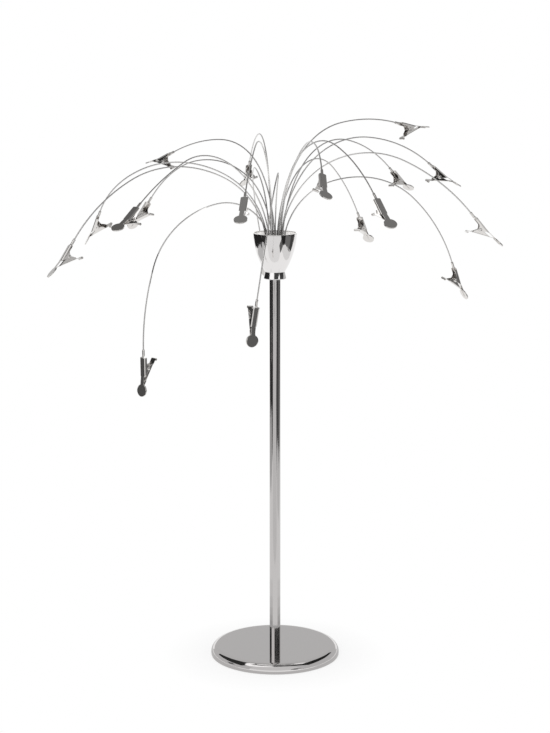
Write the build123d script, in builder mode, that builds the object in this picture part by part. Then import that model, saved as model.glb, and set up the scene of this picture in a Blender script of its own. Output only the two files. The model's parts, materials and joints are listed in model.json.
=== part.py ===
from build123d import *
from math import acos, atan2, ceil, cos, hypot, pi, radians, sin, sqrt
import os

os.makedirs("parts", exist_ok=True)

# Base: a pressed cover over a cast weight, on a felt disc
base_diameter = 102.0
base_height = 8.0
base_shoulder = 6.0
cover_sheet = 0.8
cover_lift = 0.6
weight_side_gap = 0.3
felt_thickness = 1.0
felt_inset = 2.0

# Stem
tube_diameter = 8.6
tube_wall = 0.8
tube_shown = 294.5
insert_length = 14.0

# Screws at the foot and the head of the stem
screw_diameter = 5.0
screw_clearance = 0.25
screw_head_diameter = 9.0
screw_head_height = 2.0
screw_grip = 12.0
screw_slot_width = 1.2
screw_slot_depth = 0.9
washer_diameter = 12.0
washer_thickness = 1.0
recess_clearance = 1.0
recess_spare = 0.2

# Collar and cup at the head of the stem
collar_height = 5.5
collar_foot_diameter = 17.8
collar_top_diameter = 15.4
collar_socket_depth = 2.0
collar_edge = 0.5
cup_height = 30.0
cup_foot_diameter = 15.4
cup_belly_diameter = 26.8
cup_belly_height = 12.0
cup_rim_diameter = 33.9
cup_wall = 0.8
cup_rim_edge = 0.25

# Plug that holds the wires, in two staggered rings of holes
plug_depth = 12.0
plug_thickness = 12.0
plug_hole_depth = 10.0
inner_ring_radius = 4.5
outer_ring_radius = 6.5
first_hole_angle = 10.0

# Wires: the rise, the crown and the fall each bend as one arc and share the wire's free length so
wire_diameter = 1.0
wire_free_length = 195.0
bend_shares = (0.32, 0.36, 0.32)

# One wire a row: heading from +X, length over the common one, bends of rise, crown and fall,
# sway of the crown, roll of the clip
wire_rows = [
    (22, -10, 34, 62, 32, 4, 8),
    (53, -3, 41, 60, 28, -4, -6),
    (37, -16, 24, 57, 22, 1, -5),
    (60, -7, 52, 71, 20, 0, -6),
    (112, 7, 53, 42, 20, 22, -32),
    (123, 6, 66, 35, 46, 15, 0),
    (96, 5, 44, 53, 36, 2, -26),
    (198, -1, 55, 66, 44, -40, 3),
    (102, 0, 65, 60, 50, -12, 0),
    (194, 17, 63, 56, 26, 24, -7),
    (202, 4, 100, 64, 17, -2, -26),
    (208, -9, 41, 73, 12, 26, -24),
    (257, 0, 29, 80, 15, 6, 0),
    (275, -4, 48, 137, 3, -12, -25),
    (307, 3, 32, 75, 24, -9, 12),
    (290, 0, 41, 47, 35, -15, -11),
    (351, 8, 48, 67, 26, 7, -14),
    (16, 16, 74, 58, 26, 12, -9),
]

# Clip: a fixed jaw crimped on the wire, a lever, a rivet and a torsion spring
clip_sheet = 0.4
jaw_width = 5.5
fold_radius = 1.1
neck_length = 6.0
plate_length = 14.5
plate_back = 1.5
barrel_diameter = 2.0
barrel_length = 4.5
tail_step = 1.5
tail_flange = 2.3
pad_diameter = 9.5
pad_gap = 0.1
nose_lift = 7.0
pivot_back = 5.9
pivot_drop = 4.0
ear_radius = 1.6
ear_gap = 0.15
jaw_ear_root = 3.2
lever_ear_root = 4.8
lever_ear_nose = 8.6
lever_angle = 34.0
lever_length = 21.5
lever_flange = 0.9
curl_diameter = 2.0
rib_width = 1.2
rib_height = 0.5
rib_reach = 7.0
pin_diameter = 1.4
pin_clearance = 0.05
pin_head_diameter = 2.4
pin_head_height = 0.4
spring_wire = 0.4
spring_coil_diameter = 2.3
spring_pitch = 0.95
spring_whole_turns = 2
spring_leg = 7.0
spring_leg_gap = 0.05

# Heights that follow from the sizes above
tube_top = base_height + tube_shown + collar_socket_depth
collar_foot = base_height + tube_shown
cup_foot = collar_foot + collar_height
cup_floor = cup_foot + cup_wall
cup_rim = cup_foot + cup_height
plug_top = cup_rim - plug_depth
plug_foot = plug_top - plug_thickness
tube_bore_radius = tube_diameter / 2 - tube_wall
weight_top = base_height - cover_sheet
recess_top = felt_thickness + recess_spare + screw_head_height + washer_thickness
screw_hole_radius = screw_diameter / 2 + screw_clearance

# Places along the clip, from the end of the wire: X runs to the nose, Z out of the jaw's back
plate_tail = barrel_length + tail_step
neck_start = plate_tail + plate_length
pivot_x = neck_start - pivot_back
pivot_z = plate_back - pivot_drop
neck_width = jaw_width - 2 * fold_radius
lever_width = jaw_width - 2 * clip_sheet - 2 * ear_gap
lift = radians(nose_lift)
slope = radians(lever_angle)
nose_start = Vector(neck_start, 0, plate_back)
nose_plane = Plane(nose_start, x_dir=(cos(lift), 0, sin(lift)), z_dir=(-sin(lift), 0, cos(lift)))
nose_fold = nose_plane.from_local_coords(Vector(0, 0, -clip_sheet))
lever_bend = nose_plane.from_local_coords(Vector(neck_length, 0, -clip_sheet - pad_gap))
lever_pad_plane = Plane(lever_bend, x_dir=nose_plane.x_dir, z_dir=nose_plane.z_dir)
lever_plane = Plane(lever_bend, x_dir=(cos(slope), 0, sin(slope)), z_dir=(-sin(slope), 0, cos(slope)))
lever_pivot = lever_plane.to_local_coords(Vector(pivot_x, 0, pivot_z))


# Base

with BuildPart() as base_cover:
    with Locations((0, 0, cover_lift)):
        Cylinder(base_diameter / 2, base_height - cover_lift, align=(Align.CENTER, Align.CENTER, Align.MIN))
    fillet(base_cover.edges().sort_by(Axis.Z)[-1], base_shoulder)
    offset(amount=-cover_sheet, openings=base_cover.faces().sort_by(Axis.Z)[0])
    with Locations((0, 0, base_height)):
        Hole(screw_hole_radius, base_height)
base_cover.part.label = "base_cover"
export_step(base_cover.part, "parts/base_cover.step")

with BuildPart() as base_weight:
    with Locations((0, 0, felt_thickness)):
        Cylinder(
            base_diameter / 2 - cover_sheet - weight_side_gap,
            weight_top - felt_thickness,
            align=(Align.CENTER, Align.CENTER, Align.MIN),
        )
    fillet(base_weight.edges().sort_by(Axis.Z)[-1], base_shoulder - cover_sheet)
    with BuildSketch(Plane.XY.offset(felt_thickness)):
        Circle(washer_diameter / 2 + recess_clearance)
    extrude(amount=recess_top - felt_thickness, mode=Mode.SUBTRACT)
    with Locations((0, 0, weight_top)):
        Hole(screw_hole_radius, weight_top)
base_weight.part.label = "base_weight"
export_step(base_weight.part, "parts/base_weight.step")

with BuildPart() as base_pad:
    with BuildSketch():
        Circle(base_diameter / 2 - cover_sheet - felt_inset)
    extrude(amount=felt_thickness)
base_pad.part.label = "base_pad"
export_step(base_pad.part, "parts/base_pad.step")

with BuildPart() as base_washer:
    with BuildSketch(Plane.XY.offset(recess_top)):
        Circle(washer_diameter / 2)
        Circle(screw_hole_radius, mode=Mode.SUBTRACT)
    extrude(amount=-washer_thickness)
base_washer.part.label = "base_washer"
export_step(base_washer.part, "parts/base_washer.step")


def slotted_screw(seat, tip, way):
    """A pan-head screw along Z: its head lies on the seat, on the side that way points from."""
    with BuildPart() as screw:
        with BuildSketch(Plane.XY.offset(seat)):
            Circle(screw_head_diameter / 2)
        extrude(amount=-way * screw_head_height)
        head_end = screw.edges().filter_by(GeomType.CIRCLE).sort_by(Axis.Z, reverse=way < 0)[0]
        fillet(head_end, screw_slot_depth / 2)
        with BuildSketch(Plane.XY.offset(seat - way * screw_head_height)):
            Rectangle(screw_head_diameter, screw_slot_width)
        extrude(amount=way * screw_slot_depth, mode=Mode.SUBTRACT)
        with BuildSketch(Plane.XY.offset(seat)):
            Circle(screw_diameter / 2)
        extrude(amount=tip - seat)
    return screw.part


with BuildPart() as base_bolt:
    add(slotted_screw(recess_top - washer_thickness, base_height + screw_grip, 1))
base_bolt.part.label = "base_bolt"
export_step(base_bolt.part, "parts/base_bolt.step")


# Stem

with BuildPart() as stem_tube:
    with BuildSketch(Plane.XY.offset(base_height)):
        Circle(tube_diameter / 2)
        Circle(tube_bore_radius, mode=Mode.SUBTRACT)
    extrude(amount=tube_top - base_height)
stem_tube.part.label = "stem_tube"
export_step(stem_tube.part, "parts/stem_tube.step")

with BuildPart() as stem_lower_insert:
    with BuildSketch(Plane.XY.offset(base_height)):
        Circle(tube_bore_radius)
        Circle(screw_diameter / 2, mode=Mode.SUBTRACT)
    extrude(amount=insert_length)
stem_lower_insert.part.label = "stem_lower_insert"
export_step(stem_lower_insert.part, "parts/stem_lower_insert.step")

with BuildPart() as stem_upper_insert:
    with BuildSketch(Plane.XY.offset(tube_top)):
        Circle(tube_bore_radius)
        Circle(screw_diameter / 2, mode=Mode.SUBTRACT)
    extrude(amount=-insert_length)
stem_upper_insert.part.label = "stem_upper_insert"
export_step(stem_upper_insert.part, "parts/stem_upper_insert.step")


# Head of the stem

with BuildPart() as neck_collar:
    with Locations((0, 0, collar_foot)):
        Cone(
            collar_foot_diameter / 2,
            collar_top_diameter / 2,
            collar_height,
            align=(Align.CENTER, Align.CENTER, Align.MIN),
        )
    fillet(neck_collar.edges().filter_by(GeomType.CIRCLE).sort_by(Axis.Z)[0], collar_edge)
    with BuildSketch(Plane.XY.offset(collar_foot)):
        Circle(tube_diameter / 2)
    extrude(amount=collar_socket_depth, mode=Mode.SUBTRACT)
    with Locations((0, 0, cup_foot)):
        Hole(screw_hole_radius, collar_height)
neck_collar.part.label = "neck_collar"
export_step(neck_collar.part, "parts/neck_collar.step")


def cup_form():
    """The outside of the cup as a solid: a tulip turned about Z."""
    with BuildPart() as form:
        with BuildSketch(Plane.XZ):
            with BuildLine():
                side = ThreePointArc(
                    (cup_foot_diameter / 2, cup_foot),
                    (cup_belly_diameter / 2, cup_foot + cup_belly_height),
                    (cup_rim_diameter / 2, cup_rim),
                )
                Polyline(side @ 1, (0, cup_rim), (0, cup_foot), side @ 0)
            make_face()
        revolve(axis=Axis.Z)
    return form.part


with BuildPart() as wire_cup:
    add(cup_form())
    offset(amount=-cup_wall, openings=wire_cup.faces().sort_by(Axis.Z)[-1])
    rim_edges = wire_cup.edges().filter_by(GeomType.CIRCLE).group_by(Axis.Z)[-1]
    fillet(rim_edges, cup_rim_edge)
    with Locations((0, 0, cup_floor)):
        Hole(screw_hole_radius, 2 * cup_wall)
wire_cup.part.label = "wire_cup"
export_step(wire_cup.part, "parts/wire_cup.step")

with BuildPart() as cup_screw:
    add(slotted_screw(cup_floor, tube_top - screw_grip, -1))
cup_screw.part.label = "cup_screw"
export_step(cup_screw.part, "parts/cup_screw.step")


def wire_hole(number):
    """Where a wire comes out of the plug: odd numbers lie on the inner ring, even ones on the outer."""
    ring_radius = inner_ring_radius if number % 2 else outer_ring_radius
    angle = radians(first_hole_angle + 360 / len(wire_rows) * (number - 1))
    return Vector(ring_radius * cos(angle), ring_radius * sin(angle), plug_top)


wire_numbers = range(1, len(wire_rows) + 1)
wire_holes = [wire_hole(number) for number in wire_numbers]

with BuildPart() as wire_plug:
    add(cup_form())
    offset(amount=-cup_wall)
    split(bisect_by=Plane.XY.offset(plug_top), keep=Keep.BOTTOM)
    split(bisect_by=Plane.XY.offset(plug_foot), keep=Keep.TOP)
    with Locations(*wire_holes):
        Hole(wire_diameter / 2, plug_hole_depth)
wire_plug.part.label = "wire_plug"
export_step(wire_plug.part, "parts/wire_plug.step")


# Wires

def wire_route(number):
    """The arcs of a wire above the plug, and the plane at its end that its clip is built on."""
    heading, longer, rise, crown, fall, sway, roll = wire_rows[number - 1]
    length = wire_free_length + longer
    point = wire_holes[number - 1]
    tangent = Vector(0, 0, 1)
    inward = Vector(cos(radians(heading)), sin(radians(heading)), 0)
    arcs = []
    for share, turn, twist in zip(bend_shares, (rise, crown, fall), (0, sway, 0)):
        inward = inward.rotate(Axis((0, 0, 0), tangent), twist)
        angle = radians(turn)
        radius = share * length / angle
        centre = point + inward * radius
        middle = centre + (tangent * sin(angle / 2) - inward * cos(angle / 2)) * radius
        end = centre + (tangent * sin(angle) - inward * cos(angle)) * radius
        arcs.append((point, middle, end))
        along = tangent * cos(angle) + inward * sin(angle)
        inward = inward * cos(angle) - tangent * sin(angle)
        tangent = along
        point = end
    back = (inward * -1).rotate(Axis((0, 0, 0), tangent), roll)
    return arcs, Plane(point, x_dir=tangent, z_dir=back)


clip_planes = []
for number in wire_numbers:
    arcs, clip_plane = wire_route(number)
    clip_planes.append(clip_plane)
    foot = wire_holes[number - 1] - Vector(0, 0, plug_hole_depth)
    with BuildPart() as wire:
        with BuildLine() as route:
            Line(foot, wire_holes[number - 1])
            for start, middle, end in arcs:
                ThreePointArc(start, middle, end)
            Line(clip_plane.origin, clip_plane.origin + clip_plane.x_dir * barrel_length)
        with BuildSketch(Plane(foot)):
            Circle(wire_diameter / 2)
        sweep(path=route.wire())
    wire.part.label = f"wire_{number:02d}"
    export_step(wire.part, f"parts/wire_{number:02d}.step")


# Clips

def make_jaw():
    """The fixed jaw: crimp barrel, stepped tail, flanged plate with two ears, neck and pad."""
    ear_reach = pivot_drop + ear_radius
    with BuildPart() as jaw:
        with BuildSketch(Plane.YZ.offset(plate_tail)) as channel:
            with Locations((0, plate_back)):
                Rectangle(jaw_width, ear_reach, align=(Align.CENTER, Align.MAX))
            fillet(channel.vertices().group_by(Axis.Y)[-1], fold_radius)
            offset(amount=-clip_sheet, mode=Mode.SUBTRACT)
            with Locations((0, plate_back - ear_reach)):
                Rectangle(jaw_width - 2 * clip_sheet, 2 * clip_sheet, mode=Mode.SUBTRACT)
        extrude(amount=plate_length)
        with BuildSketch(Plane.XZ):
            with BuildLine():
                Polyline(
                    (plate_tail, plate_back),
                    (plate_tail, plate_back - tail_flange),
                    (pivot_x - jaw_ear_root, plate_back - tail_flange),
                    (pivot_x - ear_radius, pivot_z),
                    (pivot_x + ear_radius, pivot_z),
                    (neck_start, plate_back - clip_sheet),
                    (neck_start, plate_back),
                    close=True,
                )
            make_face()
            with Locations((pivot_x, pivot_z)):
                Circle(ear_radius)
                Circle(pin_diameter / 2, mode=Mode.SUBTRACT)
        extrude(amount=jaw_width / 2, both=True, mode=Mode.INTERSECT)
        with BuildSketch(Plane.XZ.offset(neck_width / 2)):
            with BuildLine():
                Polyline(
                    (neck_start, plate_back),
                    (neck_start, plate_back - clip_sheet),
                    (nose_fold.X, nose_fold.Z),
                    close=True,
                )
            make_face()
        extrude(amount=-neck_width)
        with BuildSketch(nose_plane):
            Rectangle(neck_length + pad_diameter / 2, neck_width, align=(Align.MIN, Align.CENTER))
            with Locations((neck_length + pad_diameter / 2, 0)):
                Circle(pad_diameter / 2)
        extrude(amount=-clip_sheet)
        with BuildSketch(Plane.YZ.offset(plate_tail)):
            with Locations((0, plate_back - clip_sheet / 2)):
                Rectangle(neck_width, clip_sheet)
        with BuildSketch(Plane.YZ.offset(barrel_length)):
            with Locations((0, (barrel_diameter - clip_sheet) / 2)):
                Rectangle(barrel_diameter, clip_sheet)
        loft()
        with BuildSketch(Plane.YZ):
            Circle(barrel_diameter / 2)
            Circle(wire_diameter / 2, mode=Mode.SUBTRACT)
        extrude(amount=barrel_length + tail_step / 2)
    return jaw.part


def make_lever():
    """The lever: flanged plate with two ears inside the jaw's, curled finger end, neck, pad and rib."""
    side_plane = Plane(
        lever_plane.origin - Vector(0, lever_width / 2, 0), x_dir=lever_plane.x_dir, z_dir=(0, -1, 0)
    )
    pivot = (lever_pivot.X, lever_pivot.Z)
    with BuildPart() as lever:
        with BuildSketch(side_plane):
            with BuildLine():
                Polyline(
                    (pivot[0] - lever_ear_root, -clip_sheet),
                    (pivot[0] - lever_ear_root, lever_flange),
                    (pivot[0] - ear_radius, pivot[1]),
                    (pivot[0] + ear_radius, pivot[1]),
                    (pivot[0] + lever_ear_nose, 0),
                    (pivot[0] + lever_ear_nose, -clip_sheet),
                    close=True,
                )
            make_face()
            with Locations(pivot):
                Circle(ear_radius)
                Circle(pin_diameter / 2 + pin_clearance, mode=Mode.SUBTRACT)
        extrude(amount=-clip_sheet)
        mirror(about=Plane.XZ)
        with BuildSketch(side_plane):
            with Locations((-lever_length, -curl_diameter / 2)):
                Circle(curl_diameter / 2)
                Circle(curl_diameter / 2 - clip_sheet, mode=Mode.SUBTRACT)
        extrude(amount=-lever_width)
        with BuildSketch(lever_plane):
            Rectangle(lever_length, lever_width, align=(Align.MAX, Align.CENTER))
        extrude(amount=-clip_sheet)
        with BuildSketch(lever_pad_plane):
            Rectangle(pad_diameter / 2, lever_width, align=(Align.MIN, Align.CENTER))
            with Locations((pad_diameter / 2, 0)):
                Circle(pad_diameter / 2)
        extrude(amount=-clip_sheet)
        with BuildSketch(lever_pad_plane.offset(-clip_sheet)):
            Rectangle(rib_reach, rib_width, align=(Align.MIN, Align.CENTER))
        extrude(amount=-rib_height)
    return lever.part


def make_pin():
    """The rivet through the four ears, headed on both sides."""
    with BuildPart() as pin:
        with BuildSketch(Plane.XZ.offset(jaw_width / 2)):
            with Locations((pivot_x, pivot_z)):
                Circle(pin_head_diameter / 2)
        extrude(amount=pin_head_height)
        with BuildSketch(Plane.XZ.offset(jaw_width / 2)):
            with Locations((pivot_x, pivot_z)):
                Circle(pin_diameter / 2)
        extrude(amount=-jaw_width / 2)
        mirror(about=Plane.XZ)
    return pin.part


def leg_angle(room):
    """How far a spring leg turns from its plate's line to reach across the room by the coil."""
    reach = hypot(spring_leg, spring_coil_diameter / 2)
    return atan2(spring_leg, spring_coil_diameter / 2) - acos(room / reach)


def spring_route():
    """The spring's line: a leg from the lever, the coil in short biarcs, a leg to the jaw."""
    room = spring_wire / 2 + spring_leg_gap
    start_angle = slope + leg_angle(lever_pivot.Z - room) - pi / 2
    end_angle = pi / 2 - leg_angle(pivot_drop - clip_sheet - room) + 2 * pi * spring_whole_turns
    steps = ceil((end_angle - start_angle) / (pi / 2))
    rise = spring_pitch / (2 * pi)
    coil = []
    for step in range(steps + 1):
        angle = start_angle + (end_angle - start_angle) * step / steps
        across = rise * (angle - (start_angle + end_angle) / 2)
        radius = spring_coil_diameter / 2
        point = Vector(pivot_x + radius * cos(angle), across, pivot_z + radius * sin(angle))
        climb = 0 if step in (0, steps) else rise
        coil.append((point, Vector(-radius * sin(angle), climb, radius * cos(angle)).normalized()))
    with BuildLine() as route:
        Line(coil[0][0] - coil[0][1] * spring_leg, coil[0][0])
        for (point, tangent), (next_point, next_tangent) in zip(coil, coil[1:]):
            chord = next_point - point
            spread = 2 * (1 - tangent.dot(next_tangent))
            pull = chord.dot(tangent + next_tangent)
            handle = (sqrt(pull ** 2 + spread * chord.dot(chord)) - pull) / spread
            near = point + tangent * handle
            far = next_point - next_tangent * handle
            joint = (near + far) * 0.5
            TangentArc(point, joint, tangent=tangent)
            TangentArc(joint, next_point, tangent=far - near)
        Line(coil[-1][0], coil[-1][0] + coil[-1][1] * spring_leg)
    return route.wire()


def least_gap(line, thickness):
    """The least gap of a round tube to itself, measured on points along its line."""
    count = 300
    points = [line.position_at(index / count) for index in range(count + 1)]
    apart = ceil(3 * thickness / (line.length / count))
    gaps = [
        (points[later] - point).length
        for index, point in enumerate(points)
        for later in range(index + apart, count + 1)
    ]
    return min(gaps) - thickness


spring_line = spring_route()
spring_gap = least_gap(spring_line, spring_wire)
print(f"spring: {spring_line.length:.1f} mm of wire, least gap to itself {spring_gap:.2f} mm")


def make_spring():
    """The torsion spring that holds the pads shut."""
    with BuildPart() as spring:
        with BuildSketch(Plane(spring_line @ 0, z_dir=spring_line % 0)):
            Circle(spring_wire / 2)
        sweep(path=spring_line)
    return spring.part


clip_places = [plane.location for plane in clip_planes]

with BuildPart() as clip_jaws:
    with Locations(*clip_places):
        add(make_jaw())
clip_jaws.part.label = "clip_jaws"
export_step(clip_jaws.part, "parts/clip_jaws.step")

with BuildPart() as clip_pins:
    with Locations(*clip_places):
        add(make_pin())
clip_pins.part.label = "clip_pins"
export_step(clip_pins.part, "parts/clip_pins.step")

with BuildPart() as clip_springs:
    with Locations(*clip_places):
        add(make_spring())
clip_springs.part.label = "clip_springs"
export_step(clip_springs.part, "parts/clip_springs.step")

lever_form = make_lever()
for number, clip_plane in zip(wire_numbers, clip_planes):
    with BuildPart() as clip_lever:
        with Locations(clip_plane.location):
            add(lever_form)
    clip_lever.part.label = f"clip_lever_{number:02d}"
    export_step(clip_lever.part, f"parts/clip_lever_{number:02d}.step")
    pivot = clip_plane.from_local_coords(Vector(pivot_x, 0, pivot_z))
    nose_tip = nose_plane.from_local_coords(Vector(neck_length + pad_diameter, 0, -clip_sheet))
    pads = clip_plane.from_local_coords(nose_tip)
    print(
        f"clip {number:02d}: pivot {pivot.X:.3f} {pivot.Y:.3f} {pivot.Z:.3f}"
        f" axis {clip_plane.y_dir.X:.5f} {clip_plane.y_dir.Y:.5f} {clip_plane.y_dir.Z:.5f}"
        f" nose {clip_plane.x_dir.X:.5f} {clip_plane.x_dir.Y:.5f} {clip_plane.x_dir.Z:.5f}"
        f" pads {pads.X:.3f} {pads.Y:.3f} {pads.Z:.3f}"
    )
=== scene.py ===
import json
import math

import bmesh
import bpy
from mathutils import Matrix, Vector


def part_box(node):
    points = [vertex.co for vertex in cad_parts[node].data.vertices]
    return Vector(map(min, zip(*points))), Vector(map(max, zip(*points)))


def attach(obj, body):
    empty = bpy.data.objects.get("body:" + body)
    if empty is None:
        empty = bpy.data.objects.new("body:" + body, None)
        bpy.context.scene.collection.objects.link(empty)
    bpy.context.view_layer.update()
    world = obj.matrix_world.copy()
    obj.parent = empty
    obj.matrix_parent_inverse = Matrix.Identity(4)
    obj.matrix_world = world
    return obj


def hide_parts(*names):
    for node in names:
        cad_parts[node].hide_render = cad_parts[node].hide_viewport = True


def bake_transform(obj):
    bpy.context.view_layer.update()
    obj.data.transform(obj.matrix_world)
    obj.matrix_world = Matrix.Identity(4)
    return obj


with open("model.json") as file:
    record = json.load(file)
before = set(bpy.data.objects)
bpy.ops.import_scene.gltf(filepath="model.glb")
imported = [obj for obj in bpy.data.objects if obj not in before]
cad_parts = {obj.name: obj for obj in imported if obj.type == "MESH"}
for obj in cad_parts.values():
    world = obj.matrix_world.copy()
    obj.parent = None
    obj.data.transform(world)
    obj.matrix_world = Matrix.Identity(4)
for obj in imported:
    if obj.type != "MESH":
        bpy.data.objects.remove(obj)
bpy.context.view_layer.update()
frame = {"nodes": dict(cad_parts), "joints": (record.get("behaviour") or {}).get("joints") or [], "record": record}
nodes = frame["nodes"]
record = frame["record"]

MM = 0.001
scene = bpy.context.scene
scene.view_settings.view_transform = "Standard"

# Camera: the photograph looks slightly down on the stand from the front
camera_place = (0, -1.415, 0.506)
camera_pitch_down = 10.9
camera_lens = 91.08
camera_data = bpy.data.cameras.new("camera")
camera_data.lens = camera_lens
camera = bpy.data.objects.new("camera", camera_data)
camera.location = camera_place
camera.rotation_euler = (math.radians(90 - camera_pitch_down), 0, 0)
scene.collection.objects.link(camera)
scene.camera = camera

# Clip sizes in millimetres, from the end of the wire: X runs to the nose, Z out of the jaw's back
sheet = 0.4
edge_round = 0.08
jaw_fold = 1.1
jaw_width = 5.5
neck_width = 3.3
neck_length = 6.0
plate_tail = 6.0
neck_start = 20.5
plate_back = 1.5
barrel_radius = 1.0
barrel_length = 4.5
barrel_seam_angle = 0.12
tail_flange = 2.3
pad_radius = 4.75
pad_gap = 0.1
nose_lift = math.radians(7)
pivot = Vector((14.6, 0, -2.5))
pivot_drop = 4.0
ear_radius = 1.6
jaw_ear_root = 3.2
lever_width = 4.4
lever_fold = 0.6
lever_ear_root = 4.8
lever_ear_nose = 8.6
lever_slope = math.radians(34)
lever_length = 21.5
lever_flange = 0.9
lever_tail_step = 0.4
lever_nose_step = 0.3
lever_pad_step = 0.2
curl_radius = 1.0
curl_turn = 1.6 * math.pi
rib_width = 1.2
rib_height = 0.5
rib_sunk = sheet / 2
rib_squareness = 6
rib_reach = 7.0
pin_radius = 0.7
pin_head_radius = 1.2
pin_head_height = 0.4
spring_wire = 0.4
spring_coil_radius = 1.15
spring_pitch = 0.95
spring_turns = 2
spring_leg = 7.0
spring_leg_gap = 0.05

# How finely the meshes are divided, and the millimetres within which their points are welded
across_count = 12
barrel_count = 4
crimp_count = 6
plate_count = 8
ear_count = 12
flange_count = 5
neck_count = 4
pad_count = 20
curl_count = 20
tail_count = 5
rib_count = 14
rib_sides = 12
pin_sides = 20
coil_count = 56
leg_count = 6
spring_sides = 10
felt_sides = 128
weld_distance = 0.001
rib_weld_distance = 0.0005

# Directions and places on the clip that follow from its sizes
nose_start = Vector((neck_start, 0, plate_back))
nose_along = Vector((math.cos(nose_lift), 0, math.sin(nose_lift)))
nose_down = Vector((math.sin(nose_lift), 0, -math.cos(nose_lift)))
pad_start = nose_start + nose_along * neck_length
lever_along = Vector((math.cos(lever_slope), 0, math.sin(lever_slope)))
lever_inward = Vector((-math.sin(lever_slope), 0, math.cos(lever_slope)))
lever_corner = pad_start + nose_down * (sheet + pad_gap)
lever_pad_start = lever_corner + nose_down * sheet
lever_arm = pivot - lever_corner
lever_pivot = Vector((lever_arm.dot(lever_along), 0, lever_arm.dot(lever_inward)))


def evenly(start, end, count):
    """Numbers from start to end, in that many equal steps."""
    return [start + (end - start) * index / count for index in range(count + 1)]


# Node helpers, for a material or the world

def add_node(owner, kind, **values):
    """A node of that kind, with its sockets set by name."""
    node = owner.node_tree.nodes.new(kind)
    for name, value in values.items():
        node.inputs[name.replace("_", " ")].default_value = value
    return node


def link(owner, source, target):
    """Joins an output to an input."""
    owner.node_tree.links.new(source, target)


def maths(owner, operation, first, second):
    """A calculation on a source and a second source or number."""
    node = add_node(owner, "ShaderNodeMath")
    node.operation = operation
    link(owner, first, node.inputs[0])
    if isinstance(second, float):
        node.inputs[1].default_value = second
    else:
        link(owner, second, node.inputs[1])
    return node.outputs["Value"]


def vector_maths(owner, operation, result, first, second=None):
    """A calculation on a source and, where it has one, a second source or fixed vector."""
    node = add_node(owner, "ShaderNodeVectorMath")
    node.operation = operation
    link(owner, first, node.inputs[0])
    if isinstance(second, tuple):
        node.inputs[1].default_value = second
    elif second is not None:
        link(owner, second, node.inputs[1])
    return node.outputs[result]


def mixed_shader(owner, share, first, second):
    """Two shaders, mixed by a share of the second."""
    node = add_node(owner, "ShaderNodeMixShader")
    link(owner, share, node.inputs["Fac"])
    link(owner, first, node.inputs[1])
    link(owner, second, node.inputs[2])
    return node.outputs["Shader"]


def new_material(name):
    """A node material, with its shader."""
    material = bpy.data.materials.new(name)
    material.use_nodes = True
    shader = material.node_tree.nodes["Principled BSDF"]
    return material, shader


def object_place(material):
    """The place of a point in the object's own metres."""
    return add_node(material, "ShaderNodeTexCoord").outputs["Object"]


def face_normal(material):
    """The way that the surface faces."""
    return add_node(material, "ShaderNodeNewGeometry").outputs["Normal"]


def noise(material, scale, detail=3.0, roughness=0.5, stretch=(1, 1, 1)):
    """Noise in the object's own metres: scale is in features a metre."""
    mapping = add_node(material, "ShaderNodeMapping", Scale=stretch)
    texture = add_node(material, "ShaderNodeTexNoise", Scale=scale, Detail=detail, Roughness=roughness)
    link(material, object_place(material), mapping.inputs["Vector"])
    link(material, mapping.outputs["Vector"], texture.inputs["Vector"])
    return texture.outputs["Fac"]


def spread(material, source, low, high, start=0.3, end=0.7):
    """Maps a mask from start..end on to low..high."""
    node = add_node(material, "ShaderNodeMapRange", From_Min=start, From_Max=end, To_Min=low, To_Max=high)
    link(material, source, node.inputs["Value"])
    return node.outputs["Result"]


def mixed(material, mask, first, second):
    """Two colours, mixed by a mask."""
    node = add_node(material, "ShaderNodeMix")
    node.data_type = "RGBA"
    node.inputs["A"].default_value = (*first, 1)
    node.inputs["B"].default_value = (*second, 1)
    link(material, mask, node.inputs["Factor"])
    return node.outputs["Result"]


def lay_over(material, socket, kind, mask, source):
    """Lays a second source over what feeds a socket of the shader, where the mask is 1."""
    target = material.node_tree.nodes["Principled BSDF"].inputs[socket]
    node = add_node(material, "ShaderNodeMix")
    node.data_type = kind
    link(material, mask, node.inputs["Factor"])
    link(material, target.links[0].from_socket, node.inputs["A"])
    link(material, source, node.inputs["B"])
    link(material, node.outputs["Result"], target)


def edge_mask(material, radius):
    """1 along sharp edges and 0 on open faces."""
    rounded = add_node(material, "ShaderNodeBevel", Radius=radius)
    along = vector_maths(material, "DOT_PRODUCT", "Value", rounded.outputs["Normal"], face_normal(material))
    return spread(material, along, 1.0, 0.0, 0.8, 0.99)


def bumped(material, shader, height, strength, depth):
    """Gives the shader a bump of that depth in metres."""
    node = add_node(material, "ShaderNodeBump", Strength=strength, Distance=depth)
    link(material, height, node.inputs["Height"])
    link(material, node.outputs["Normal"], shader.inputs["Normal"])


# Materials

def plating(name, colour, worn, roughness, haze, grain, bump, stretch=(1, 1, 1), edge=0.3 * MM):
    """Bright metal: hazy patches change its roughness, fine grain its bump, and its edges are rubbed."""
    material, shader = new_material(name)
    shader.inputs["Metallic"].default_value = 1.0
    patches = noise(material, haze, 5.0, 0.6)
    fine = noise(material, grain, 2.0, 0.5, stretch)
    rub = edge_mask(material, edge)
    link(material, mixed(material, rub, colour, worn), shader.inputs["Base Color"])
    link(material, spread(material, patches, *roughness), shader.inputs["Roughness"])
    bumped(material, shader, fine, bump, 0.02 * MM)
    return material


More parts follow.
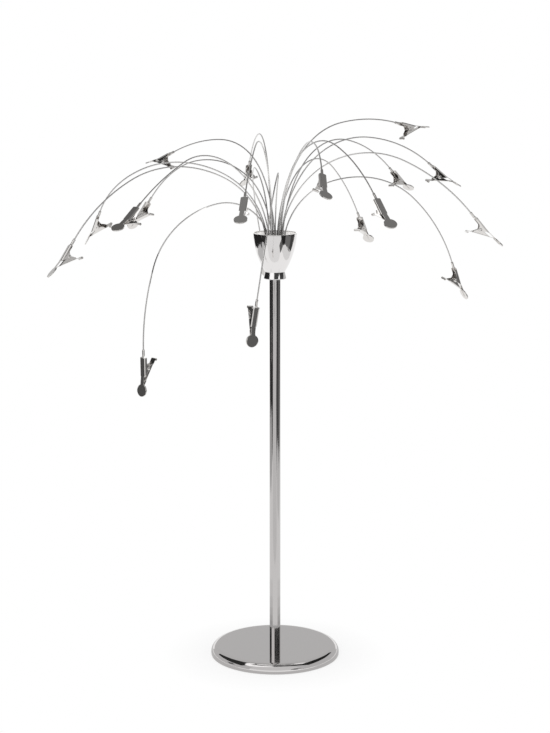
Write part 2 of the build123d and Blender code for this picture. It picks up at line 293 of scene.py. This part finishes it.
nickel = (0.785, 0.77, 0.765)
rubbed_nickel = (0.83, 0.81, 0.79)
cup_metal = plating(
    "cup_nickel", nickel, rubbed_nickel, roughness=(0.04, 0.07), haze=60, grain=900, bump=0.03,
)
cover_metal = plating(
    "cover_nickel", (0.70, 0.68, 0.675), (0.75, 0.73, 0.71),
    roughness=(0.04, 0.07), haze=60, grain=900, bump=0.03,
)
tube_metal = plating(
    "tube_nickel", (0.53, 0.515, 0.51), (0.62, 0.60, 0.58),
    roughness=(0.05, 0.08), haze=80, grain=700, bump=0.01, stretch=(1, 1, 0.1),
)
wire_metal = plating(
    "wire_nickel", (0.62, 0.61, 0.60), rubbed_nickel,
    roughness=(0.20, 0.30), haze=200, grain=2500, bump=0.01, edge=0.02 * MM,
)
clip_metal = plating(
    "clip_nickel", (0.72, 0.70, 0.68), rubbed_nickel,
    roughness=(0.05, 0.10), haze=250, grain=2000, bump=0.01, edge=0.1 * MM,
)
spring_metal = plating(
    "spring_steel", (0.52, 0.50, 0.48), (0.60, 0.58, 0.55),
    roughness=(0.22, 0.34), haze=400, grain=4000, bump=0.2,
)
screw_metal = plating(
    "zinc_steel", (0.62, 0.64, 0.66), (0.70, 0.70, 0.70),
    roughness=(0.25, 0.38), haze=300, grain=1800, bump=0.3,
)


def satin_with_painted_light_inside(material):
    """Leaves the cup's inside, which no wheel reaches, unpolished, and paints it a paler colour: painted light
    that makes the inside look bright.
    """
    to_axis = vector_maths(material, "MULTIPLY", "Vector", object_place(material), (-1, -1, 0))
    inward = vector_maths(material, "NORMALIZE", "Vector", to_axis)
    facing = vector_maths(material, "DOT_PRODUCT", "Value", inward, face_normal(material))
    inside = spread(material, facing, 0.0, 1.0, 0.4, 0.6)
    cloud = noise(material, 350, 4.0, 0.6)
    # Painted light: the paler base colour makes the inside look brightly lit; the higher roughness is the real
    # unpolished finish.
    pale = mixed(material, cloud, (0.92, 0.91, 0.90), (0.97, 0.96, 0.95))
    lay_over(material, "Base Color", "RGBA", inside, pale)
    lay_over(material, "Roughness", "FLOAT", inside, spread(material, cloud, 0.25, 0.35))


def darker_rim_top(material):
    """Darkens a thin band along the top of the cup's rim."""
    lip_foot = 0.9 * MM
    lip_head = 0.6 * MM
    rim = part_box("wire_cup")[1].z
    parts = add_node(material, "ShaderNodeSeparateXYZ")
    link(material, object_place(material), parts.inputs["Vector"])
    lip = spread(material, parts.outputs["Z"], 0.0, 1.0, rim - lip_foot, rim - lip_head)
    # The rim's top band is given a darker colour.
    rim_tone = mixed(material, noise(material, 400), (0.48, 0.47, 0.46), (0.58, 0.57, 0.56))
    lay_over(material, "Base Color", "RGBA", lip, rim_tone)


def painted_shade_at_feet(material):
    """Darkens the wires' colour where they leave the cup side by side: painted shade between the crowded wires."""
    feet_middle = (0, 0, 0.33)
    full_shade_reach = 0.015
    fade_reach = 0.05
    away = vector_maths(material, "DISTANCE", "Value", object_place(material), feet_middle)
    near = spread(material, away, 1.0, 0.0, full_shade_reach, fade_reach)
    # Painted shade: a darker base colour near the cup's mouth, where the wires crowd together.
    dark = mixed(material, noise(material, 500), (0.27, 0.265, 0.26), (0.37, 0.365, 0.36))
    lay_over(material, "Base Color", "RGBA", near, dark)


def cast_metal():
    """Grey cast iron as it leaves the mould, dull and grainy."""
    material, shader = new_material("cast_iron")
    shader.inputs["Metallic"].default_value = 0.6
    grain = noise(material, 1400, 6.0, 0.65)
    patches = noise(material, 90, 4.0, 0.6)
    grey = mixed(material, patches, (0.10, 0.10, 0.105), (0.17, 0.165, 0.16))
    link(material, grey, shader.inputs["Base Color"])
    link(material, spread(material, patches, 0.55, 0.75), shader.inputs["Roughness"])
    bumped(material, shader, grain, 0.6, 0.2 * MM)
    return material


def moulded_plastic():
    """Black moulded plastic with a fine spark-eroded grain."""
    material, shader = new_material("plug_plastic")
    grain = noise(material, 3000, 3.0, 0.6)
    patches = noise(material, 150, 3.0, 0.5)
    black = mixed(material, patches, (0.018, 0.018, 0.02), (0.03, 0.03, 0.032))
    link(material, black, shader.inputs["Base Color"])
    link(material, spread(material, patches, 0.38, 0.52), shader.inputs["Roughness"])
    bumped(material, shader, grain, 0.25, 0.05 * MM)
    return material


def felt_cloth():
    """Pressed black felt: matted fibres and a soft sheen."""
    material, shader = new_material("felt")
    fibres = noise(material, 2600, 8.0, 0.75, (1, 1, 0.3))
    mats = noise(material, 240, 5.0, 0.6)
    black = mixed(material, mats, (0.022, 0.022, 0.024), (0.05, 0.05, 0.053))
    link(material, black, shader.inputs["Base Color"])
    link(material, spread(material, fibres, 0.85, 1.0), shader.inputs["Roughness"])
    shader.inputs["Sheen Weight"].default_value = 0.4
    bumped(material, shader, fibres, 0.8, 0.4 * MM)
    return material


satin_with_painted_light_inside(cup_metal)
darker_rim_top(cup_metal)
painted_shade_at_feet(wire_metal)

node_materials = {
    "base_cover": cover_metal,
    "base_weight": cast_metal(),
    "base_washer": screw_metal,
    "base_bolt": screw_metal,
    "stem_tube": tube_metal,
    "stem_lower_insert": screw_metal,
    "stem_upper_insert": screw_metal,
    "neck_collar": cup_metal,
    "wire_cup": cup_metal,
    "cup_screw": screw_metal,
    "wire_plug": moulded_plastic(),
}
for name in nodes:
    if name.startswith("wire_") and name.removeprefix("wire_").isdigit():
        node_materials[name] = wire_metal
for name, material in node_materials.items():
    nodes[name].data.materials.clear()
    nodes[name].data.materials.append(material)


# Mesh helpers

def add_sheet(mesh, rows):
    """A sheet of quads through rows of points."""
    made = [[mesh.verts.new(point) for point in row] for row in rows]
    for near, far in zip(made, made[1:]):
        for a, b, c, d in zip(near, near[1:], far[1:], far):
            mesh.faces.new((a, b, c, d))


def ring(centre, side, other, radius, steps):
    """A closed ring of points in the plane of two directions."""
    return [
        centre + (side * math.cos(angle) + other * math.sin(angle)) * radius
        for angle in evenly(0, 2 * math.pi, steps)
    ]


def add_turned(mesh, profile, steps, centre, axis):
    """A round form: (radius, height) points turned about an axis, from pole to pole."""
    side = axis.orthogonal().normalized()
    other = axis.cross(side)
    add_sheet(mesh, [ring(centre + axis * height, side, other, radius, steps) for radius, height in profile])


def add_tube(mesh, path, radius, sides):
    """A round tube along a path, closed by a point at each end."""
    rows = [[path[0]] * (sides + 1)]
    side = None
    for index, point in enumerate(path):
        ahead = path[min(index + 1, len(path) - 1)] - path[max(index - 1, 0)]
        ahead.normalize()
        side = ahead.orthogonal() if side is None else side - ahead * side.dot(ahead)
        side.normalize()
        rows.append(ring(point, side, ahead.cross(side), radius, sides))
    rows.append([path[-1]] * (sides + 1))
    add_sheet(mesh, rows)


def linked_object(name, data):
    """An object of the scene that holds a mesh or a lamp."""
    obj = bpy.data.objects.new(name, data)
    scene.collection.objects.link(obj)
    return obj


def mesh_object(name, mesh, material):
    """An object from a bmesh in millimetres, with its doubled points welded."""
    bmesh.ops.remove_doubles(mesh, verts=mesh.verts, dist=weld_distance)
    data = bpy.data.meshes.new(name)
    mesh.to_mesh(data)
    mesh.free()
    data.materials.append(material)
    return linked_object(name, data)


def settled(obj):
    """The object's mesh with its modifiers applied, smooth but for its sharp edges."""
    sharp_angle = math.radians(40)
    graph = bpy.context.evaluated_depsgraph_get()
    data = bpy.data.meshes.new_from_object(obj.evaluated_get(graph))
    data.shade_smooth()
    data.set_sharp_from_angle(angle=sharp_angle)
    bpy.data.objects.remove(obj)
    return data


def stamped(name, mesh, material):
    """A sheet's outer face given its thickness inward, and rounded edges."""
    obj = mesh_object(name, mesh, material)
    solid = obj.modifiers.new("thickness", "SOLIDIFY")
    solid.thickness = sheet
    solid.offset = 1
    edges = obj.modifiers.new("edges", "BEVEL")
    edges.width = edge_round
    edges.segments = 2
    edges.limit_method = "ANGLE"
    edges.angle_limit = math.radians(50)
    return settled(obj)


def group_object(name, data, matrices):
    """One object from copies of a mesh."""
    mesh = bmesh.new()
    for matrix in matrices:
        copy = data.copy()
        copy.transform(matrix)
        mesh.from_mesh(copy)
        bpy.data.meshes.remove(copy)
    joined = bpy.data.meshes.new(name)
    mesh.to_mesh(joined)
    mesh.free()
    joined.materials.append(data.materials[0])
    return linked_object(name, joined)


# Clips

def cross_row(place, half_width):
    """A row of points straight across the clip."""
    return [place + Vector((0, y, 0)) for y in evenly(-half_width, half_width, across_count)]


def barrel_row(x):
    """The crimped barrel's section: almost a full circle, open along a seam below."""
    first = -math.pi / 2 - barrel_seam_angle
    last = -5 * math.pi / 2 + barrel_seam_angle
    return [
        Vector((x, barrel_radius * math.cos(angle), barrel_radius * math.sin(angle)))
        for angle in evenly(first, last, across_count)
    ]


def pad_rows(start, along, neck):
    """A round pad from the bend to the nose, whose first row is as wide as its neck."""
    first_angle = math.asin(neck / 2 / pad_radius)
    rows = []
    for angle in evenly(first_angle, math.pi, pad_count):
        place = start + along * (pad_radius * (1 - math.cos(angle)))
        rows.append(cross_row(place, pad_radius * math.sin(angle)))
    return rows


def flange_rows(stations, half_width, fold, root, depth_at, inward):
    """A side flange: folded from the plate's edge through a quarter circle, down to its own outline."""
    rows = []
    for x in stations:
        depth = depth_at(x)
        row = []
        for angle in evenly(0, math.acos(max(1 - depth / fold, 0)), flange_count):
            row.append((half_width - fold + fold * math.sin(angle), fold * (1 - math.cos(angle))))
        side, folded = row[-1]
        for share in evenly(0, 1, flange_count)[1:]:
            row.append((side, folded + max(depth - folded, 0) * share))
        rows.append([(x, y, root - inward * drop) for y, drop in row])
    return rows


def jaw_depth(x):
    """How far the jaw's flange and ear reach down from its back."""
    distance = abs(x - pivot.x)
    if distance < ear_radius:
        return pivot_drop + math.sqrt(ear_radius ** 2 - distance ** 2)
    if x < pivot.x - jaw_ear_root:
        return tail_flange
    if x < pivot.x:
        share = (x - pivot.x + jaw_ear_root) / (jaw_ear_root - ear_radius)
        return tail_flange + (pivot_drop - tail_flange) * share
    share = (x - pivot.x - ear_radius) / (neck_start - pivot.x - ear_radius)
    return pivot_drop + (sheet - pivot_drop) * share


def lever_depth(x):
    """How far the lever's flange and ear reach in from its outer face."""
    distance = abs(x - lever_pivot.x)
    height = lever_pivot.z + sheet
    if distance < ear_radius:
        return height + math.sqrt(ear_radius ** 2 - distance ** 2)
    if x < lever_pivot.x:
        share = (x - lever_pivot.x + lever_ear_root) / (lever_ear_root - ear_radius)
        return lever_flange + sheet + (height - lever_flange - sheet) * share
    share = (x - lever_pivot.x - ear_radius) / (lever_ear_nose - ear_radius)
    return height + (sheet - height) * share


def ear_stations(start, end, centre):
    """Places along a flange, close together round the ear."""
    ear = [centre + ear_radius * math.sin(angle) for angle in evenly(-math.pi / 2, math.pi / 2, ear_count)]
    return evenly(start, ear[0], plate_count)[:-1] + ear + evenly(ear[-1], end, plate_count)[1:]


def make_jaw():
    """The fixed jaw: crimp barrel, tail, flanged plate with two ears, neck and pad."""
    mesh = bmesh.new()
    inner_half = jaw_width / 2 - jaw_fold

    def plate_row(x):
        return cross_row(Vector((x, 0, plate_back)), inner_half)

    rows = [barrel_row(x) for x in evenly(0, barrel_length, barrel_count)]
    for share in evenly(0, 1, crimp_count)[1:]:
        x = barrel_length + (plate_tail - barrel_length) * share
        flatness = share * share * (3 - 2 * share)
        rows.append([
            round_point.lerp(flat_point, flatness)
            for round_point, flat_point in zip(barrel_row(x), plate_row(x))
        ])
    stations = ear_stations(plate_tail, neck_start, pivot.x)
    rows += [plate_row(x) for x in stations[1:]]
    for share in evenly(0, 1, neck_count)[1:]:
        rows.append(cross_row(nose_start + nose_along * (neck_length * share), neck_width / 2))
    rows += pad_rows(pad_start, nose_along, neck_width)
    add_sheet(mesh, rows)
    flange = flange_rows(stations, jaw_width / 2, jaw_fold, plate_back, jaw_depth, 1)
    for side in (1, -1):
        placed = [[Vector((x, y * side, z)) for x, y, z in row] for row in flange]
        add_sheet(mesh, placed if side > 0 else [row[::-1] for row in placed])
    return stamped("clip_jaw", mesh, clip_metal)


def add_rib(mesh):
    """The pressed rib along the outside of the lever's pad, its back sunk half into the sheet."""
    rows = []
    for share in evenly(0, 1, rib_count):
        place = lever_pad_start + nose_along * (rib_reach * share)
        swell = math.sqrt(max(1 - (2 * share - 1) ** rib_squareness, 0))
        row = []
        for angle in evenly(0, 2 * math.pi, rib_sides):
            across = Vector((0, rib_width / 2 * swell * math.cos(angle), 0))
            height = rib_height if math.sin(angle) > 0 else rib_sunk
            row.append(place + across + nose_down * (height * swell * math.sin(angle)))
        rows.append(row)
    add_sheet(mesh, rows)
    bmesh.ops.remove_doubles(mesh, verts=mesh.verts, dist=rib_weld_distance)
    for face in mesh.faces:
        face.smooth = True


def make_lever():
    """The lever: curled finger end, flanged plate with two ears, neck, round pad and rib."""
    mesh = bmesh.new()
    outer_half = lever_width / 2
    inner_half = outer_half - lever_fold
    curl_inner = curl_radius - sheet

    def placed(x, y, z):
        return lever_corner + lever_along * x + lever_inward * z + Vector((0, y, 0))

    def lever_row(x, z, half_width):
        return [placed(x, y, z) for y in evenly(-half_width, half_width, across_count)]

    rows = []
    for angle in evenly(-curl_turn, 0, curl_count):
        x = -lever_length - curl_inner * math.sin(-angle)
        z = -curl_radius + curl_inner * math.cos(angle)
        rows.append(lever_row(x, z, outer_half))
    ear_start = lever_pivot.x - lever_ear_root
    stations = ear_stations(ear_start, lever_pivot.x + lever_ear_nose, lever_pivot.x)
    tail = evenly(-lever_length, ear_start - lever_tail_step, tail_count)[1:]
    rows += [lever_row(x, -sheet, outer_half) for x in tail]
    rows += [lever_row(x, -sheet, inner_half) for x in stations]
    neck = (stations[-1] + lever_nose_step, -lever_pad_step)
    rows += [lever_row(x, -sheet, outer_half) for x in neck]
    rows += pad_rows(lever_pad_start, nose_along, lever_width)
    add_sheet(mesh, [row[::-1] for row in rows])
    flange = flange_rows(stations, outer_half, lever_fold, -sheet, lever_depth, -1)
    for side in (1, -1):
        turned = [[placed(x, y * side, z) for x, y, z in row] for row in flange]
        add_sheet(mesh, turned if side < 0 else [row[::-1] for row in turned])
    data = stamped("clip_lever", mesh, clip_metal)
    whole = bmesh.new()
    whole.from_mesh(data)
    add_rib(whole)
    whole.to_mesh(data)
    whole.free()
    return data


def make_pin():
    """The rivet through the four ears, with a low dome on each head."""
    mesh = bmesh.new()
    half = jaw_width / 2
    top = half + pin_head_height
    # The dome, as shares of the head's radius and drops from its top
    dome = [(0, 0), (0.5, 0.03), (0.85, 0.12), (1, 0.28)]
    head = [(pin_head_radius * share, top - drop) for share, drop in dome]
    head += [(pin_head_radius, half), (pin_radius, half)]
    profile = [(radius, -height) for radius, height in head] + head[::-1]
    add_turned(mesh, profile, pin_sides, pivot, Vector((0, 1, 0)))
    return settled(mesh_object("clip_pin", mesh, clip_metal))


def leg_angle(room):
    """How far a leg of the spring turns from its plate's line to reach across the room beside the coil."""
    reach = math.hypot(spring_leg, spring_coil_radius)
    return math.atan2(spring_leg, spring_coil_radius) - math.acos(room / reach)


def make_spring():
    """The torsion spring: a leg along the lever, the coil round the rivet, a leg along the jaw."""
    mesh = bmesh.new()
    room = spring_wire / 2 + spring_leg_gap
    start_angle = lever_slope + leg_angle(lever_pivot.z - room) - math.pi / 2
    end_angle = math.pi / 2 - leg_angle(pivot_drop - sheet - room) + 2 * math.pi * spring_turns
    rise = spring_pitch / (2 * math.pi)
    coil = []
    for angle in evenly(start_angle, end_angle, coil_count):
        across = rise * (angle - (start_angle + end_angle) / 2)
        around_pin = Vector((math.cos(angle), 0, math.sin(angle))) * spring_coil_radius
        coil.append(pivot + around_pin + Vector((0, across, 0)))
    first_way = Vector((-math.sin(start_angle), 0, math.cos(start_angle)))
    last_way = Vector((-math.sin(end_angle), 0, math.cos(end_angle)))
    first_leg = [coil[0] - first_way * spring_leg * share for share in evenly(1, 0, leg_count)[:-1]]
    last_leg = [coil[-1] + last_way * spring_leg * share for share in evenly(0, 1, leg_count)[1:]]
    add_tube(mesh, first_leg + coil + last_leg, spring_wire / 2, spring_sides)
    return settled(mesh_object("clip_spring", mesh, spring_metal))


def clip_matrix(number):
    """Where a clip sits: its own millimetres to the frame's metres."""
    joint = next(joint for joint in frame["joints"] if joint["name"] == f"clip_hinge_{number:02d}")
    mount = next(mount for mount in record["mounts"] if mount["name"] == f"photo_clip_{number:02d}")
    nose = Vector(mount["axis"]).normalized()
    hinge = Vector(joint["axis"]).normalized()
    back = nose.cross(hinge)
    axes = Matrix((nose, hinge, back)).transposed().to_4x4()
    hinge_place = Matrix.Translation(Vector(joint["pos_m"]))
    return hinge_place @ axes @ Matrix.Scale(MM, 4) @ Matrix.Translation(-pivot)


clip_count = sum(joint["name"].startswith("clip_hinge_") for joint in frame["joints"])
clip_places = {number: clip_matrix(number) for number in range(1, 1 + clip_count)}

jaws = group_object("fine_clip_jaws", make_jaw(), clip_places.values())
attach(jaws, "stand")
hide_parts("clip_jaws")

pins = group_object("fine_clip_pins", make_pin(), clip_places.values())
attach(pins, "stand")
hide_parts("clip_pins")

lever_mesh = make_lever()
spring_mesh = make_spring()
for number, place in clip_places.items():
    lever = group_object(f"fine_clip_lever_{number:02d}", lever_mesh, [place])
    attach(lever, f"lever_{number:02d}")
    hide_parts(f"clip_lever_{number:02d}")
    spring = group_object(f"fine_clip_spring_{number:02d}", spring_mesh, [place])
    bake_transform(spring)
    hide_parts("clip_springs")


# Felt

def make_felt():
    """The felt disc under the base, its cut edge slightly rounded by the press."""
    low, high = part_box("base_pad")
    radius = (high.x - low.x) / 2 / MM
    thickness = (high.z - low.z) / MM
    edge = 0.25 * thickness
    corner = 0.3 * edge
    flat = radius * 0.6
    lower = [(0, 0), (flat, 0), (radius - edge, 0), (radius - corner, corner), (radius, edge)]
    upper = [(reach, thickness - height) for reach, height in reversed(lower)]
    mesh = bmesh.new()
    add_turned(mesh, lower + upper, felt_sides, Vector((0, 0, 0)), Vector((0, 0, 1)))
    disc = settled(mesh_object("felt", mesh, felt_cloth()))
    felt = group_object("felt_pad", disc, [Matrix.Scale(MM, 4)])
    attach(felt, "stand")
    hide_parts("base_pad")


make_felt()


# Studio: a pale floor, a white surround, soft lamps, and cards that only the metal sees

def seen_rays(owner):
    """1 for what the eye, a reflection or glass sees, and 0 for plain light."""
    rays = add_node(owner, "ShaderNodeLightPath").outputs
    seen = maths(owner, "MAXIMUM", rays["Is Camera Ray"], rays["Is Glossy Ray"])
    return maths(owner, "MAXIMUM", seen, rays["Is Transmission Ray"])


def make_world():
    """White to the eye and in reflections, a plain soft light on everything else."""
    white = (1, 1, 1, 1)
    soft_strength = 0.45
    world = bpy.data.worlds.new("studio")
    world.use_nodes = True
    shown = world.node_tree.nodes["Background"]
    shown.inputs["Color"].default_value = white
    shown.inputs["Strength"].default_value = 1.0
    light = add_node(world, "ShaderNodeBackground", Color=white, Strength=soft_strength)
    surround = mixed_shader(
        world, seen_rays(world), light.outputs["Background"], shown.outputs["Background"],
    )
    link(world, surround, world.node_tree.nodes["World Output"].inputs["Surface"])
    scene.world = world


make_world()


def plane_object(name, corners, material):
    """A stage sheet through its corners."""
    data = bpy.data.meshes.new(name)
    data.from_pydata([Vector(corner) for corner in corners], [], [tuple(range(len(corners)))])
    data.materials.append(material)
    obj = linked_object(name, data)
    return obj


def floor_paper():
    """White paper that keeps the stand's soft shadow and fades to plain white away from it."""
    fade_start = 0.05
    fade_end = 0.09
    material, shader = new_material("floor_paper")
    shader.inputs["Base Color"].default_value = (0.86, 0.86, 0.86, 1)
    shader.inputs["Roughness"].default_value = 0.9
    shader.inputs["Specular IOR Level"].default_value = 0.1
    reach = vector_maths(material, "LENGTH", "Value", object_place(material))
    far = spread(material, reach, 0.8, 1.0, fade_start, fade_end)
    plain = maths(material, "MULTIPLY", far, seen_rays(material))
    white = add_node(material, "ShaderNodeEmission", Strength=1.0)
    paper = mixed_shader(material, plain, shader.outputs["BSDF"], white.outputs["Emission"])
    link(material, paper, material.node_tree.nodes["Material Output"].inputs["Surface"])
    return material


floor_reach = 6.0
floor_corners = [(-floor_reach, -floor_reach, 0), (floor_reach, -floor_reach, 0),
                 (floor_reach, floor_reach, 0), (-floor_reach, floor_reach, 0)]
plane_object("floor", floor_corners, floor_paper())


def card_material(value, deep):
    """A plain glow. A deep card is clear to all but the reflection of a reflection."""
    between_first_and_second = 1.5
    material, _ = new_material(f"card_{round(value * 100)}")
    glow = add_node(material, "ShaderNodeEmission", Color=(value, value, value, 1), Strength=1.0)
    surface = glow.outputs["Emission"]
    if deep:
        depth = add_node(material, "ShaderNodeLightPath").outputs["Ray Depth"]
        twice = maths(material, "GREATER_THAN", depth, between_first_and_second)
        clear = add_node(material, "ShaderNodeBsdfTransparent").outputs["BSDF"]
        surface = mixed_shader(material, twice, clear, surface)
    link(material, surface, material.node_tree.nodes["Material Output"].inputs["Surface"])
    return material


def card(name, corners, value, deep=False):
    """A studio card that only reflections see: value 0 is black, 1 white."""
    obj = plane_object(name, corners, card_material(value, deep))
    obj.visible_camera = False
    obj.visible_diffuse = False
    obj.visible_shadow = False


def around(azimuth, distance, height):
    """A place in the studio: azimuths are in degrees from the camera's side, positive to the right."""
    angle = math.radians(azimuth)
    return (distance * math.sin(angle), -distance * math.cos(angle), height)


def floor_card(name, edge, reach, value):
    """A card flat on the floor, from an edge through (azimuth, distance) points out to its reach."""
    level = 0.0003
    for index, (start, end) in enumerate(zip(edge, edge[1:])):
        inner = [around(azimuth, distance, level) for azimuth, distance in (start, end)]
        outer = [around(azimuth, reach, level) for azimuth, distance in (end, start)]
        card(f"{name}_{index}", inner + outer, value)


def wall_card(name, distance, first, last, low, high, value, deep=False):
    """A card that stands round the stand, between two azimuths and two heights."""
    sections = 6
    edge = evenly(first, last, sections)
    for index, (start, end) in enumerate(zip(edge, edge[1:])):
        feet = [around(start, distance, low), around(end, distance, low)]
        heads = [around(end, distance, high), around(start, distance, high)]
        card(f"{name}_{index}", feet + heads, value, deep)


def dome_card(name, distance, first, last, low, high, value):
    """A strip of the dome between two azimuths and two heights in degrees over the floor."""
    sections = 8
    edge = evenly(first, last, sections)
    for index, (start, end) in enumerate(zip(edge, edge[1:])):
        corners = []
        for azimuth, height in ((start, low), (end, low), (end, high), (start, high)):
            rise = math.radians(height)
            corners.append(around(azimuth, distance * math.cos(rise), distance * math.sin(rise)))
        card(f"{name}_{index}", corners, value)


def overhead(right, away, distance):
    """A place overhead: degrees from straight up, to the right and away from the camera."""
    tilt = math.hypot(right, away)
    reach = distance * math.sin(math.radians(tilt)) / tilt
    return (reach * right, reach * away, distance * math.cos(math.radians(tilt)))


def clip_flag(number, distance, value):
    """A grey flag that a clip's back, halfway from its plate's slope to its pad's, mirrors to the camera."""
    half = 0.06
    tilt = nose_lift / 2
    place = clip_places[number]
    middle = place @ nose_start
    outward = (place.to_3x3() @ Vector((-math.sin(tilt), 0, math.cos(tilt)))).normalized()
    view = (middle - camera.location).normalized()
    mirrored = view - outward * (2 * view.dot(outward))
    side = mirrored.orthogonal().normalized() * half
    other = mirrored.cross(side)
    centre = middle + mirrored * distance
    corners = [centre + side + other, centre - side + other, centre - side - other, centre + side - other]
    card(f"clip_flag_{number:02d}", corners, value)


# Dark ground beside the white table, as (azimuth, distance) along its near edge
ground_reach = 5.0
left_ground = [(-152, 2.0), (-140, 1.45), (-130, 1.0), (-120, 0.92), (-105, 0.85), (-90, 0.85), (-79, 0.93),
               (-70, 0.92), (-64, 0.72), (-57, 0.64), (-50, 0.72), (-44, 1.0), (-40, 1.5), (-38, 2.2)]
right_ground = [(29, 2.2), (31, 1.5), (34, 1.1), (40, 0.8), (45, 0.65), (52, 0.72), (58, 0.78)]
grey_ground = [(58, 0.78), (66, 0.73), (78, 0.66), (92, 0.63)]
dim_ground = [(92, 0.63), (104, 0.66), (112, 0.72), (120, 1.1), (126, 1.8), (130, 2.4)]

# Grey shade on the table inside the dark ground, and round the base
left_shade = [(-140, 0.9), (-130, 0.62), (-115, 0.53), (-100, 0.50), (-85, 0.53), (-72, 0.6), (-64, 0.7)]
right_shade = [(45, 0.5), (60, 0.42), (80, 0.40), (100, 0.45), (118, 0.6)]
front_shade = [(-44, 0.36), (-30, 0.28), (0, 0.25), (25, 0.28), (34, 0.33)]
base_shade_start = 0.0515
base_shade_reach = 0.075
base_shade_count = 32
base_shade = [(azimuth, base_shade_start) for azimuth in evenly(-160, 160, base_shade_count)]

# Cards on the floor, as (near edge, reach, value)
floor_cards = {
    "left_ground": (left_ground, ground_reach, 0.03),
    "right_ground": (right_ground, ground_reach, 0.02),
    "grey_ground": (grey_ground, ground_reach, 0.17),
    "dim_ground": (dim_ground, ground_reach, 0.06),
    "left_shade": (left_shade, 0.92, 0.56),
    "right_shade": (right_shade, 0.72, 0.8),
    "front_shade": (front_shade, 2.2, 0.86),
    "base_shade": (base_shade, base_shade_reach, 0.6),
}
for name, (edge, reach, value) in floor_cards.items():
    floor_card(name, edge, reach, value)

# Shade on both sides of the base that fades away from it, as (reach, value) of each ring
near_shades = [(0.085, 0.55), (0.10, 0.64), (0.12, 0.73), (0.15, 0.82), (0.20, 0.91)]
near_shade_count = 10
shade_start = base_shade_reach
for index, (shade_reach, value) in enumerate(near_shades):
    for side, first, last in (("left", -150, -50), ("right", 55, 150)):
        edge = [(azimuth, shade_start) for azimuth in evenly(first, last, near_shade_count)]
        floor_card(f"near_{side}_shade_{index}", edge, shade_reach, value)
    shade_start = shade_reach

# Cards that stand round the stand, as (first and last azimuth, low and high edge, value)
wall_distance = 1.75
wall_cards = {
    "wall_left": (-150, -76, 0.57, 0.67, 0.03),
    "wall_front": (-74, -18, 0.50, 0.75, 1.2),
    "wall_right": (-8, 120, 0.57, 0.67, 0.03),
}
for name, card_sizes in wall_cards.items():
    wall_card(name, wall_distance, *card_sizes, deep=True)

# Small cards beside the collar, with a spot in front of them
collar_distance = 0.1
spot_distance = collar_distance - 0.002
collar_cards = {
    "collar_left": (collar_distance, -140, -60, 0.302, 0.328, 0.02),
    "collar_lamp": (collar_distance, -54, -12, 0.3205, 0.335, 1.25),
    "collar_front": (collar_distance, -8, 70, 0.3205, 0.338, 0.06),
    "collar_right": (collar_distance, 70, 112, 0.3175, 0.332, 0.05),
    "collar_spot": (spot_distance, 33, 50, 0.3258, 0.3296, 1.25),
}
for name, card_sizes in collar_cards.items():
    wall_card(name, *card_sizes)

# White card round the cup's mouth
mouth_distance = 0.06
wall_card("mouth_card", mouth_distance, -180, 180, 0.341, 0.362, 1.5)

# Flags for the clips that turn their backs to the camera, as (distance, value)
near_flag = 0.12
far_flag = 0.40
flags = {
    12: (near_flag, 0.14),
    13: (near_flag, 0.25),
    15: (near_flag, 0.165),
    16: (near_flag, 0.215),
    14: (far_flag, 0.13),
    11: (far_flag, 0.09),
}
for number, (distance, value) in flags.items():
    clip_flag(number, distance, value)

# Grey dome over the stand, as (first and last azimuth, low and high edge in degrees, value)
dome_radius = 2.4
dome_cards = {
    "dome_back": (150, 210, 11, 66, 0.57),
    "dome_left": (-150, -45, 2, 66, 0.58),
    "dome_front": (-45, 45, 12, 66, 0.72),
    "dome_right": (45, 150, 2, 66, 0.58),
}
for name, card_sizes in dome_cards.items():
    dome_card(name, dome_radius, *card_sizes)

# Lamps and dark gaps overhead, as corners in degrees from straight up and a value
panel_distance = 1.6
panels = {
    "left_gap": ([(-18, 18), (-38, 47), (-50, 45), (-59, 10), (-55, -24), (-45, -22), (-38, -13)], 0.03),
    "right_gap": ([(25, 53), (35, 53), (48, 25), (51, 0), (50, -18), (30, -17), (27, 5), (25, 30)], 0.02),
    "front_gap": ([(-2, 8), (13, 4), (27, 2), (30, -17), (-2, -22)], 0.05),
    "left_lamp": ([(-18, 18), (-2, 8), (-2, -26), (-38, -26), (-38, -13)], 1.25),
    "right_lamp": ([(13, 24), (25, 14), (27, 3), (15, 4)], 1.0),
    "top_grey": ([(-18, 18), (-16, 28), (0, 30), (16, 28), (13, 24), (13, 4), (-2, 8)], 0.4),
}
for name, (corners, value) in panels.items():
    card(name, [overhead(right, away, panel_distance) for right, away in corners], value)


def soft_lamp(name, place, size, power):
    """A square lamp that faces the middle of the stand and doesn't show in the metal."""
    stand_middle = Vector((0, 0, 0.25))
    data = bpy.data.lights.new(name, "AREA")
    data.shape = "SQUARE"
    data.size = size
    data.energy = power
    lamp = linked_object(name, data)
    lamp.visible_glossy = False
    lamp.location = place
    lamp.rotation_euler = (stand_middle - Vector(place)).to_track_quat("-Z", "Y").to_euler()


soft_lamp("key_lamp", place=(-0.7, -1.3, 1.3), size=0.7, power=8)
soft_lamp("fill_lamp", place=(1.2, -1.0, 0.9), size=0.4, power=2.5)
soft_lamp("top_lamp", place=(0, 0, 1.7), size=1.0, power=8)
